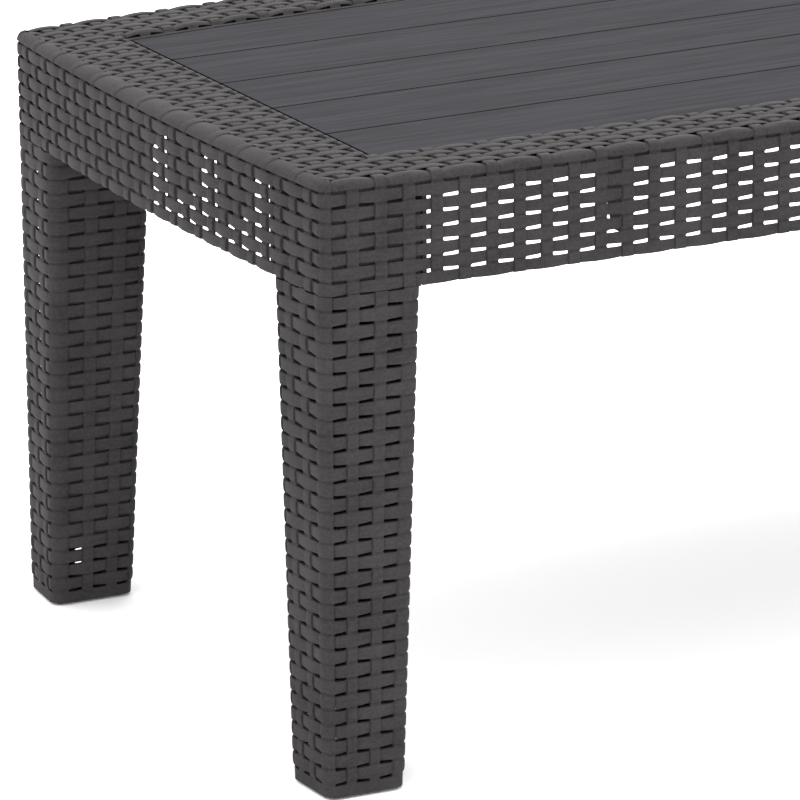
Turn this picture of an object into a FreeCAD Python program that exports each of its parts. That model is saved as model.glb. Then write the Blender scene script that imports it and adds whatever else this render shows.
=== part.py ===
"""Garden coffee table in moulded resin with a woven look.

The table is a shallow woven top frame on four tapered hollow legs, with a planked panel let
into the top.  Millimetres, +Z up.  The origin is on the floor under the middle of the table.
+X runs along the length and -Y is the long side that faces the viewer.
"""
import FreeCAD
import Part
import math
import os

Vector = FreeCAD.Vector

# ---- driving dimensions -----------------------------------------------------------------
HEIGHT = 420.0          # floor to the crest of the rim
CORNER_LENGTH = 905.0   # corner to corner along the long sides
CORNER_WIDTH = 473.0    # corner to corner along the ends
SIDE_BOW = 19.0         # how far the middle of a long side stands out from its corners
END_BOW = 9.5           # the same for an end
CORNER_ROUND = 10.0     # radius of the upright corners
EDGE_ROUND = 4.0        # radius of the rim's top edge
WALL = 3.0              # wall of every moulding

APRON_DEPTH = 76.0      # crest of the rim to the lower edge of the apron
SIDE_RIM = 61.0         # width of the rim along the long sides
END_RIM = 65.5          # width of the rim at the ends, measured at the corners
PANEL_RECESS = 3.8      # panel surface below the crest of the rim

LEDGE_WIDTH = 12.0      # ledge that carries the panel
LEDGE_SKIRT = 11.0      # stiffening rib below the ledge's inner edge
PANEL_GAP = 1.2         # open joint round the panel
PANEL_BAND = 8.0        # thickness of the panel's edge band
PANEL_SKIN = 4.0        # thickness of the planks
RIB_DEPTH = 12.0        # ribs under the planks
RIB_THICK = 2.5
PLANK_PITCH = 76.8      # from groove to groove
GROOVE_WIDTH = 2.0
GROOVE_DEPTH = 1.6
CROSS_RIB_PITCH = 98.0

LEG_TOP = (70.0, 65.5)  # width of a leg's front and end faces under the apron
LEG_FOOT = (57.5, 50.5) # the same at the floor
LEG_ROUNDS = (10.0, 9.0, 8.0, 9.0)      # corner radii of the leg, the outer corner first
TENON_INSET = 3.5       # the tenon's outer faces, in from the leg's outer faces
TENON_EASE = 0.4        # the tenon's inner faces, in from the leg's inner faces
TENON_WALL = 5.0
TENON_HEIGHT = 56.0
SHOULDER = 4.0          # thickness of the shoulder that the apron stands on
SOCKET_PLAY = 0.3       # leg to socket wall

GLIDE_THICK = 2.0       # pad under the leg
GLIDE_INSET = 5.0       # pad edge, in from the leg's faces
SPIGOT_DIAMETER = 12.0
SPIGOT_LENGTH = 10.0

# reach from the apron at each depth below the rim's underside
GUSSET_PROFILE = ((0.0, 40.0), (34.0, 28.0), (59.0, 19.0))
SIDE_GUSSETS = (-235.3, 0.0, 235.3)
END_GUSSETS = (-99.0, -27.0, 45.0, 117.0)

LEG_SCREW = {"shank": 5.0, "head": 9.0, "head_height": 3.0, "length": 14.0}
LEG_SCREW_HEIGHT = 372.0
PANEL_SCREW = {"shank": 4.0, "head": 8.0, "head_height": 2.5, "length": 8.5}
SIDE_SCREWS = (-300.0, -100.0, 100.0, 300.0)
END_SCREWS = (-90.0, 90.0)

# ---- levels and half sizes that follow from them -----------------------------------------
HALF_LENGTH = CORNER_LENGTH / 2
HALF_WIDTH = CORNER_WIDTH / 2
APRON_FOOT = HEIGHT - APRON_DEPTH
RIM_UNDERSIDE = HEIGHT - WALL
PANEL_TOP = HEIGHT - PANEL_RECESS
LEDGE_TOP = PANEL_TOP - PANEL_BAND
LEDGE_UNDERSIDE = LEDGE_TOP - WALL
OPENING_HALF_LENGTH = HALF_LENGTH - END_RIM
BEYOND = 30.0           # how far cutting solids run past what they cut

X_AXIS = Vector(1, 0, 0)
Y_AXIS = Vector(0, 1, 0)
CENTRE = Vector(0, 0, 0)


def bow(distance, half, sagitta):
    """Outward offset of a bowed edge at a distance from its middle."""
    radius = (half * half + sagitta * sagitta) / (2 * sagitta)
    return math.sqrt(radius * radius - distance * distance) - (radius - sagitta)


def side_y(x, inset=0.0):
    """Y of the back edge's curve at X, moved in towards the middle by an inset."""
    return HALF_WIDTH + bow(x, HALF_LENGTH, SIDE_BOW) - inset


def end_x(y, inset=0.0):
    """X of the right end's curve at Y, moved in towards the middle by an inset."""
    return HALF_LENGTH + bow(y, HALF_WIDTH, END_BOW) - inset


def arc(start, middle, end):
    return Part.Arc(Vector(*start), Vector(*middle), Vector(*end)).toShape()


def prism(wire, height):
    return Part.Face(wire).extrude(Vector(0, 0, height))


def frame_outline(z):
    """The bowed outline of the whole table top, with sharp corners."""
    a, b = HALF_LENGTH, HALF_WIDTH
    side, end = side_y(0), end_x(0)
    return Part.Wire([
        arc((-a, -b, z), (0, -side, z), (a, -b, z)),
        arc((a, -b, z), (end, 0, z), (a, b, z)),
        arc((a, b, z), (0, side, z), (-a, b, z)),
        arc((-a, b, z), (-end, 0, z), (-a, -b, z)),
    ])


def panel_outline(z, inset):
    """The opening's outline: bowed along the sides, straight across the ends."""
    a = OPENING_HALF_LENGTH - inset
    corner = side_y(a, SIDE_RIM + inset)
    middle = side_y(0, SIDE_RIM + inset)
    return Part.Wire([
        arc((-a, -corner, z), (0, -middle, z), (a, -corner, z)),
        Part.makeLine(Vector(a, -corner, z), Vector(a, corner, z)),
        arc((a, corner, z), (0, middle, z), (-a, corner, z)),
        Part.makeLine(Vector(-a, corner, z), Vector(-a, -corner, z)),
    ])


def panel_ring(z, height, outer_inset, inner_inset):
    """An upright band that follows the opening."""
    outer = prism(panel_outline(z, outer_inset), height)
    return outer.cut(prism(panel_outline(z, inner_inset), height))


def upright_edges(solid, height):
    """The straight vertical edges of a prism of the given height."""
    return [edge for edge in solid.Edges
            if isinstance(edge.Curve, Part.Line) and abs(edge.Length - height) < 0.01]


def at_corners(shape):
    """A shape made at the front left corner, and its mirror images at the other three."""
    back = shape.mirror(CENTRE, Y_AXIS)
    return {
        "front_left": shape,
        "front_right": shape.mirror(CENTRE, X_AXIS),
        "back_left": back,
        "back_right": back.mirror(CENTRE, X_AXIS),
    }


# ---- the corner system shared by the legs, the glides and the sockets ----------------------
class Corner:
    """Directions and cross-sections at the front left corner of the table.

    A leg's two outer faces lie flush with the bowed aprons.  Its inner faces stand square to
    the outer face they meet.
    """

    def __init__(self):
        on_side, on_end = LEG_TOP
        side_angle = math.atan(bow(HALF_LENGTH - on_side, HALF_LENGTH, SIDE_BOW) / on_side)
        end_angle = math.atan(bow(HALF_WIDTH - on_end, HALF_WIDTH, END_BOW) / on_end)
        self.point = Vector(-HALF_LENGTH, -HALF_WIDTH, 0)
        self.along_side = Vector(math.cos(side_angle), -math.sin(side_angle), 0)
        self.along_end = Vector(-math.sin(end_angle), math.cos(end_angle), 0)
        self.in_from_side = Vector(math.sin(side_angle), math.cos(side_angle), 0)
        self.in_from_end = Vector(math.cos(end_angle), math.sin(end_angle), 0)

    def meet(self, first, first_distance, second, second_distance, z):
        """The point at given distances from the corner, measured along two directions."""
        det = first.x * second.y - first.y * second.x
        x = (first_distance * second.y - second_distance * first.y) / det
        y = (first.x * second_distance - second.x * first_distance) / det
        return Vector(self.point.x + x, self.point.y + y, z)

    def section(self, z, widths, inset):
        """The four points of a cross-section, the table's outer corner first."""
        front, end = widths
        return [
            self.meet(self.in_from_side, inset, self.in_from_end, inset, z),
            self.meet(self.in_from_side, inset, self.along_side, front, z),
            self.meet(self.along_side, front, self.along_end, end, z),
            self.meet(self.along_end, end, self.in_from_end, inset, z),
        ]

    def outline(self, z, widths, inset, rounds):
        """A cross-section as a wire with rounded corners."""
        points = self.section(z, widths, inset)
        edges = []
        joints = []
        for i, here in enumerate(points):
            to_last = (points[i - 1] - here).normalize()
            to_next = (points[(i + 1) % 4] - here).normalize()
            half = to_last.getAngle(to_next) / 2
            tangent = rounds[i] / math.tan(half)
            middle = here + (to_last + to_next).normalize() * (rounds[i] / math.sin(half) - rounds[i])
            joints.append((here + to_last * tangent, middle, here + to_next * tangent))
        for i, (start, middle, end) in enumerate(joints):
            edges.append(Part.Arc(start, middle, end).toShape())
            edges.append(Part.makeLine(end, joints[(i + 1) % 4][0]))
        return Part.Wire(edges)

    def column(self, z, height, widths, inset, rounds):
        return prism(self.outline(z, widths, inset, rounds), height)

    def screw_axes(self):
        """Start on the socket's inner walls and direction into the tenon, for both screws."""
        front, end = LEG_TOP
        reach = SOCKET_PLAY + WALL
        z = LEG_SCREW_HEIGHT
        on_side = self.meet(self.along_side, front + reach, self.in_from_side, end / 2, z)
        on_end = self.meet(self.along_end, end + reach, self.in_from_end, front / 2, z)
        return [(on_side, self.along_side * -1), (on_end, self.along_end * -1)]


def leg_widths(z):
    """Widths of a leg's front and end faces at a height: it tapers on its inner sides."""
    return [foot + (top - foot) * z / APRON_FOOT for top, foot in zip(LEG_TOP, LEG_FOOT)]


def wider(widths, by):
    return [width + by for width in widths]


def thinner(rounds, by):
    return [max(radius - by, 1.0) for radius in rounds]


# ---- fasteners ------------------------------------------------------------------------------
def screw(start, direction, size):
    """A pan-head screw whose head sits on a face at start."""
    head = Part.makeCylinder(size["head"] / 2, size["head_height"], start, direction * -1)
    rim = [edge for edge in head.Edges if edge.Length > size["head"] * 3
           and (edge.CenterOfMass - start).Length > size["head_height"] / 2]
    head = head.makeFillet(size["head_height"] / 2, rim)
    shank = Part.makeCylinder(size["shank"] / 2, size["length"], start, direction)
    return head.fuse(shank).removeSplitter()


def screw_hole(start, direction, size, depth):
    begin = start - direction
    return Part.makeCylinder(size["shank"] / 2, depth + 1, begin, direction)


def panel_screw_places():
    """Heads of the panel screws, on the underside of the ledge, midway across it."""
    inset = LEDGE_WIDTH / 2
    places = []
    for x in SIDE_SCREWS:
        y = side_y(x, SIDE_RIM + inset)
        places += [Vector(x, y, LEDGE_UNDERSIDE), Vector(x, -y, LEDGE_UNDERSIDE)]
    for y in END_SCREWS:
        x = OPENING_HALF_LENGTH - inset
        places += [Vector(x, y, LEDGE_UNDERSIDE), Vector(-x, y, LEDGE_UNDERSIDE)]
    return places


# ---- top frame --------------------------------------------------------------------------------
def gusset(place, inward):
    """A tapered web between the apron and the rim, square to the apron."""
    across = Vector(-inward.y, inward.x, 0) * (WALL / 2)
    at_wall = place + inward * (WALL / 2)
    top = Vector(0, 0, RIM_UNDERSIDE + WALL / 2)
    corners = [at_wall + top]
    corners += [at_wall + inward * reach + top - Vector(0, 0, depth)
                for depth, reach in GUSSET_PROFILE]
    corners.append(at_wall + top - Vector(0, 0, GUSSET_PROFILE[-1][0]))
    corners = [corner - across for corner in corners]
    wire = Part.makePolygon(corners + corners[:1])
    return Part.Face(wire).extrude(across * 2)


def make_gussets():
    webs = []
    for x in SIDE_GUSSETS:
        webs.append(gusset(Vector(x, side_y(x), 0), Vector(0, -1, 0)))
        webs.append(gusset(Vector(x, -side_y(x), 0), Vector(0, 1, 0)))
    for y in END_GUSSETS:
        webs.append(gusset(Vector(end_x(y), y, 0), Vector(-1, 0, 0)))
        webs.append(gusset(Vector(-end_x(y), y, 0), Vector(1, 0, 0)))
    return webs


def make_sockets(inside):
    """Two inner walls at each corner, which close a square socket with the aprons."""
    depth = RIM_UNDERSIDE - APRON_FOOT
    clear = wider(LEG_TOP, SOCKET_PLAY)
    corner = Corner()
    block = corner.column(APRON_FOOT, depth, wider(clear, WALL), -BEYOND, LEG_ROUNDS)
    hollow = corner.column(APRON_FOOT, depth, clear, -BEYOND, LEG_ROUNDS)
    walls = block.cut(hollow).common(inside)
    return list(at_corners(walls).values())


def leg_screw_holes(depth):
    corner = Corner()
    holes = [screw_hole(start, direction, LEG_SCREW, depth)
             for start, direction in corner.screw_axes()]
    return holes[0].fuse(holes[1])


def make_frame():
    outline = frame_outline(APRON_FOOT)
    body = prism(outline, APRON_DEPTH)
    body = body.makeFillet(CORNER_ROUND, upright_edges(body, APRON_DEPTH))
    top_edges = [edge for edge in body.Edges if edge.BoundBox.ZMin > HEIGHT - 0.01]
    body = body.makeFillet(EDGE_ROUND, top_edges)

    inner_wire = Part.Face(outline).makeOffset2D(-WALL).OuterWire
    inside = prism(inner_wire, RIM_UNDERSIDE - APRON_FOOT)
    inside = inside.makeFillet(CORNER_ROUND - WALL,
                               upright_edges(inside, RIM_UNDERSIDE - APRON_FOOT))
    shell = body.cut(inside)

    lip = panel_ring(LEDGE_UNDERSIDE, RIM_UNDERSIDE - LEDGE_UNDERSIDE, -WALL, 0)
    ledge = panel_ring(LEDGE_UNDERSIDE, WALL, -WALL, LEDGE_WIDTH + WALL)
    skirt = panel_ring(LEDGE_UNDERSIDE - LEDGE_SKIRT, LEDGE_SKIRT + WALL,
                       LEDGE_WIDTH, LEDGE_WIDTH + WALL)
    pieces = [lip, ledge, skirt] + make_sockets(inside) + make_gussets()
    frame = shell.fuse(pieces)

    frame = frame.cut(prism(panel_outline(LEDGE_TOP, 0), BEYOND))
    frame = frame.common(body)
    below_ledge = LEDGE_UNDERSIDE - LEDGE_SKIRT - BEYOND
    holes = [screw_hole(place, Vector(0, 0, 1), PANEL_SCREW, WALL)
             for place in panel_screw_places()]
    bay = Corner().column(below_ledge, BEYOND + LEDGE_SKIRT, wider(LEG_TOP, SOCKET_PLAY),
                          TENON_INSET - SOCKET_PLAY, thinner(LEG_ROUNDS, TENON_INSET))
    holes += at_corners(bay).values()
    holes += at_corners(leg_screw_holes(LEG_SCREW["length"])).values()
    return frame.cut(holes).removeSplitter()


# ---- planked panel ------------------------------------------------------------------------------
def make_panel():
    half = OPENING_HALF_LENGTH - PANEL_GAP
    band_inset = LEDGE_WIDTH + WALL + PANEL_GAP
    skin = prism(panel_outline(PANEL_TOP - PANEL_SKIN, PANEL_GAP), PANEL_SKIN)
    band = panel_ring(LEDGE_TOP, PANEL_BAND - PANEL_SKIN, PANEL_GAP, LEDGE_WIDTH)
    rib_foot = PANEL_TOP - PANEL_SKIN - RIB_DEPTH
    width = side_y(0)
    ribs = []
    for i in range(-2, 3):
        y = i * PLANK_PITCH
        long_rib = Part.makeBox(2 * half, RIB_THICK, RIB_DEPTH,
                                Vector(-half, y - RIB_THICK / 2, rib_foot))
        ribs.append(long_rib)
    for i in range(-3, 4):
        x = i * CROSS_RIB_PITCH
        cross_rib = Part.makeBox(RIB_THICK, 2 * width, RIB_DEPTH,
                                 Vector(x - RIB_THICK / 2, -width, rib_foot))
        ribs.append(cross_rib)
    bay = prism(panel_outline(rib_foot, band_inset), RIB_DEPTH)
    ribs = ribs[0].fuse(ribs[1:]).common(bay)
    panel = skin.fuse([band, ribs])

    cuts = []
    for i in range(4):
        y = (i - 1.5) * PLANK_PITCH
        cuts.append(Part.makeBox(2 * half + BEYOND, GROOVE_WIDTH, GROOVE_DEPTH + 1,
                                 Vector(-half - BEYOND / 2, y - GROOVE_WIDTH / 2,
                                        PANEL_TOP - GROOVE_DEPTH)))
    for place in panel_screw_places():
        cuts.append(screw_hole(place, Vector(0, 0, 1), PANEL_SCREW, PANEL_SCREW["length"]))
    return panel.cut(cuts).removeSplitter()


# ---- legs and glides ------------------------------------------------------------------------------
def make_leg():
    corner = Corner()
    foot = GLIDE_THICK
    floor = foot + WALL
    shoulder_foot = APRON_FOOT - SHOULDER

    def outline(z, inset):
        rounds = thinner(LEG_ROUNDS, inset)
        return corner.outline(z, wider(leg_widths(z), -inset), inset, rounds)

    shaft = Part.makeLoft([outline(foot, 0), outline(APRON_FOOT, 0)], True, True)
    hollow = Part.makeLoft([outline(floor, WALL), outline(shoulder_foot, WALL)], True, True)
    tenon_widths = wider(LEG_TOP, -TENON_EASE)
    tenon = corner.column(APRON_FOOT - 1, TENON_HEIGHT + 1, tenon_widths,
                          TENON_INSET, LEG_ROUNDS)
    bore = corner.column(shoulder_foot - 1, TENON_HEIGHT + SHOULDER + 2,
                         wider(tenon_widths, -TENON_WALL), TENON_INSET + TENON_WALL,
                         thinner(LEG_ROUNDS, TENON_WALL))
    cuts = [hollow, bore, spigot(corner, foot, WALL + 1), leg_screw_holes(LEG_SCREW["length"])]
    return shaft.fuse(tenon).cut(cuts).removeSplitter()


def spigot(corner, z, height):
    """The round peg of a glide, in the middle of the leg's foot."""
    front, end = LEG_FOOT
    middle = corner.meet(corner.along_side, front / 2, corner.along_end, end / 2, z)
    return Part.makeCylinder(SPIGOT_DIAMETER / 2, height, middle)


def make_glide():
    corner = Corner()
    pad = corner.column(0, GLIDE_THICK, wider(LEG_FOOT, -GLIDE_INSET), GLIDE_INSET,
                        thinner(LEG_ROUNDS, GLIDE_INSET))
    lower = [edge for edge in pad.Edges if edge.BoundBox.ZMax < 0.01]
    pad = pad.makeChamfer(GLIDE_THICK / 3, lower)
    return pad.fuse(spigot(corner, GLIDE_THICK, SPIGOT_LENGTH)).removeSplitter()


# ---- the whole table -------------------------------------------------------------------------------
def make_nodes():
    nodes = {"top_frame": make_frame(), "top_panel": make_panel()}
    for name, leg in at_corners(make_leg()).items():
        nodes["leg_" + name] = leg
    for name, glide in at_corners(make_glide()).items():
        nodes["foot_glide_" + name] = glide

    leg_screws = []
    for start, direction in Corner().screw_axes():
        leg_screws += at_corners(screw(start, direction, LEG_SCREW)).values()
    panel_screws = [screw(place, Vector(0, 0, 1), PANEL_SCREW)
                    for place in panel_screw_places()]
    nodes["leg_screws"] = Part.makeCompound(leg_screws)
    nodes["panel_screws"] = Part.makeCompound(panel_screws)
    return nodes


def main():
    os.makedirs("parts", exist_ok=True)
    for name, shape in make_nodes().items():
        if not shape.isValid():
            raise ValueError(name + " is not a valid shape")
        box = shape.BoundBox
        print("%-24s %2d solids  %9.1f mm3  x %.1f..%.1f  y %.1f..%.1f  z %.1f..%.1f" % (
            name, len(shape.Solids), shape.Volume,
            box.XMin, box.XMax, box.YMin, box.YMax, box.ZMin, box.ZMax))
        shape.exportStep("parts/" + name + ".step")


main()
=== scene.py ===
"""Looks of the moulded resin coffee table: woven frame and legs, planked panel, studio.

All lengths are metres in the CAD frame.  The woven parts are real geometry: strands that pass
over and under upright stakes, with slots between them that go through the wall.
"""

import math

import bpy
import numpy as np
from mathutils import Matrix, Vector


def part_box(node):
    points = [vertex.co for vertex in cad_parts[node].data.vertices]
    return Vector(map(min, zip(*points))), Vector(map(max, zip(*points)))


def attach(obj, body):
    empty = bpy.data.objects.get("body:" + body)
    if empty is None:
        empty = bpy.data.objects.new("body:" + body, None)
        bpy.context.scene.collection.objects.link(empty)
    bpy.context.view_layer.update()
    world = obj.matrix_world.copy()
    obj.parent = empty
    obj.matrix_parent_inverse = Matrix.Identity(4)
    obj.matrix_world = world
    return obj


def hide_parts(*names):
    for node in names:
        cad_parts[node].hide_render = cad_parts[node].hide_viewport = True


MM = 0.001
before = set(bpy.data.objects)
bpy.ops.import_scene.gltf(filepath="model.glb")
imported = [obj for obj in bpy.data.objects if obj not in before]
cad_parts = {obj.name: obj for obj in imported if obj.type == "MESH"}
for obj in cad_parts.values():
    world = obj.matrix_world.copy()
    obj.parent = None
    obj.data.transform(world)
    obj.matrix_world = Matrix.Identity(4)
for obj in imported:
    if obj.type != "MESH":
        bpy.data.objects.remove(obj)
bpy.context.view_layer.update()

# ---- sizes shared with the CAD --------------------------------------------------------------
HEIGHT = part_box("top_frame")[1].z
APRON_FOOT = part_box("top_frame")[0].z
PANEL_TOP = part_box("top_panel")[1].z
LEG_FOOT_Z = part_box("leg_front_left")[0].z
HALF_LENGTH = 452.5 * MM
HALF_WIDTH = 236.5 * MM
SIDE_BOW = 19 * MM
END_BOW = 9.5 * MM
CORNER_ROUND = 10 * MM
WALL = 3 * MM
SIDE_RIM = 61 * MM
END_RIM = 65.5 * MM
LEG_TOP = (70 * MM, 65.5 * MM)      # front face, end face
LEG_FOOT = (57.5 * MM, 50.5 * MM)
LEG_ROUNDS = (10 * MM, 9 * MM, 8 * MM, 9 * MM)

# ---- the weave ------------------------------------------------------------------------------
STAKES_SIDE = 46        # stake pitches along a long side, corner to corner
STAKES_END = 26
FIRST_SLOT = 11.3 * MM  # first column of slots, from the corner
SIDE_PITCH = 2 * (HALF_LENGTH - FIRST_SLOT) / (STAKES_SIDE - 1)
END_PITCH = 2 * (HALF_WIDTH - FIRST_SLOT) / (STAKES_END - 1)
ROW_PITCH = 9.85 * MM
TOP_ROW = HEIGHT - 7.3 * MM     # height of the highest row of slots
APRON_ROWS = 7
STAKE_HALF = 0.207      # half width of a stake, in stake pitches
GAP_START = 0.222       # a slot starts here, in stake pitches from the stake's middle
SLOT_FULL = 0.245       # and has its full height from here
SLOT_END_HEIGHT = 0.75  # share of its height where it starts
STRAND_HALF = 0.392     # half height of a strand, in row pitches
SWELL = 0.014           # a strand is wider where it passes over a stake
RELIEF = 1.15 * MM      # how far the weave swings outwards and inwards, on sides and legs
END_RELIEF = 1.6 * MM
RIM_RELIEF = 1.6 * MM
STRAND_ROUND = 0.55 * MM        # drop of a strand's surface at its edges
STAKE_ROUND = 0.2 * MM
CREASE = 0.1 * MM       # depth of the line where a strand passes under a stake
STRAND_REACH = 0.72     # a strand sinks to half depth this far from the stake it lies over
STAKE_REACH = 0.6
FLARE = 0.6 * MM        # slots open out towards the back of the wall
END_FLARE = 0.6         # share of the flare at a slot's ends
MIDWAY = 9.0            # the place of a line midway between two strands
SLACK = 1e-4

STAKE_LINES = (-0.207, -0.17, -0.1, 0.0, 0.1, 0.17, 0.207)
GAP_LINES = (0.222, 0.245, 0.29, 0.38, 0.5, 0.62, 0.71, 0.755, 0.778)
CORNER_LINES = (-0.187, -0.137, -0.05, 0.05, 0.137, 0.187)      # extra lines on a corner's stake
STRAND_LINES = (-1.0, -0.93, -0.8, -0.5, 0.0, 0.5, 0.8, 0.93, 1.0)


def bow(distance, half, sagitta):
    radius = (half * half + sagitta * sagitta) / (2 * sagitta)
    return np.sqrt(radius * radius - distance * distance) - (radius - sagitta)


def side_y(x):
    return HALF_WIDTH + bow(x, HALF_LENGTH, SIDE_BOW)


def end_x(y):
    return HALF_LENGTH + bow(y, HALF_WIDTH, END_BOW)


def crest(distance, reach):
    """Height of a strand: 1 where it lies flat on top, below 0 beyond its reach."""
    return np.maximum(1 - (distance / reach) ** 2.4, -1.0)


def rounding(place):
    """Drop of a strand's surface across its width, 0 in the middle and 1 at the edges."""
    return 1 - np.sqrt(1 - np.clip(np.abs(place), 0, 1) ** 6)


# ---- mesh helpers ---------------------------------------------------------------------------
def make_object(name, points, quads, material, sharp=50.0):
    """A mesh object from an array of points and an array of quads."""
    points = np.asarray(points, float).reshape(-1, 3)
    quads = np.asarray(quads, int).reshape(-1, 4)
    used = np.unique(quads)
    renumber = np.zeros(len(points), int)
    renumber[used] = np.arange(len(used))
    mesh = bpy.data.meshes.new(name)
    mesh.from_pydata(points[used].tolist(), [], renumber[quads].tolist())
    mesh.validate()
    mesh.shade_smooth()
    mesh.set_sharp_from_angle(angle=math.radians(sharp))
    mesh.materials.append(material)
    obj = bpy.data.objects.new(name, mesh)
    bpy.context.scene.collection.objects.link(obj)
    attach(obj, "root")
    return obj


class Mesh:
    """Collects grids of points into one mesh."""

    def __init__(self):
        self.points = []
        self.quads = []
        self.count = 0

    def add(self, points, quads):
        points = np.asarray(points, float).reshape(-1, 3)
        quads = np.asarray(quads, int).reshape(-1, 4)
        self.points.append(points)
        self.quads.append(quads + self.count)
        self.count += len(points)

    def grid(self, points, keep=None, flip=False):
        """A grid of points, as rows by columns, with the cells that keep marks."""
        rows, columns = points.shape[:2]
        index = np.arange(rows * columns).reshape(rows, columns)
        quads = np.stack([index[:-1, :-1], index[:-1, 1:], index[1:, 1:], index[1:, :-1]], -1)
        if keep is not None:
            quads = quads[keep]
        quads = quads.reshape(-1, 4)
        if flip:
            quads = quads[:, ::-1]
        self.add(points, quads)

    def box(self, corners):
        """A block from its eight corners, the lower four first, both in the same order."""
        quads = [(0, 3, 2, 1), (4, 5, 6, 7), (0, 1, 5, 4), (1, 2, 6, 5), (2, 3, 7, 6),
                 (3, 0, 4, 7)]
        self.add(corners, quads)

    def make(self, name, material, sharp=50.0):
        return make_object(name, np.concatenate(self.points), np.concatenate(self.quads),
                           material, sharp)


# ---- the woven sheet ------------------------------------------------------------------------
def stake_lines(first, last, fine_corners=()):
    """Lines across the sheet, in stake pitches, from first to last."""
    lines = []
    for stake in range(int(math.floor(first)) - 1, int(math.ceil(last)) + 2):
        lines += [stake + offset for offset in STAKE_LINES]
        if stake in fine_corners:
            lines += [stake + offset for offset in CORNER_LINES]
        lines += [stake + offset for offset in GAP_LINES]
    lines = [q for q in sorted(lines) if first - 1e-6 <= q <= last + 1e-6]
    return np.array(lines)


def strand_rows(first, last):
    """Lines along the sheet: the strand each belongs to, and its place across the strand.

    A line midway between two strands belongs to the lower one and has the place MIDWAY.
    """
    strands, places = [], []
    for strand in range(first, last + 1):
        for place in STRAND_LINES:
            strands.append(strand)
            places.append(place)
        if strand < last:
            strands.append(strand)
            places.append(MIDWAY)
    return np.array(strands), np.array(places)


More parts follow.
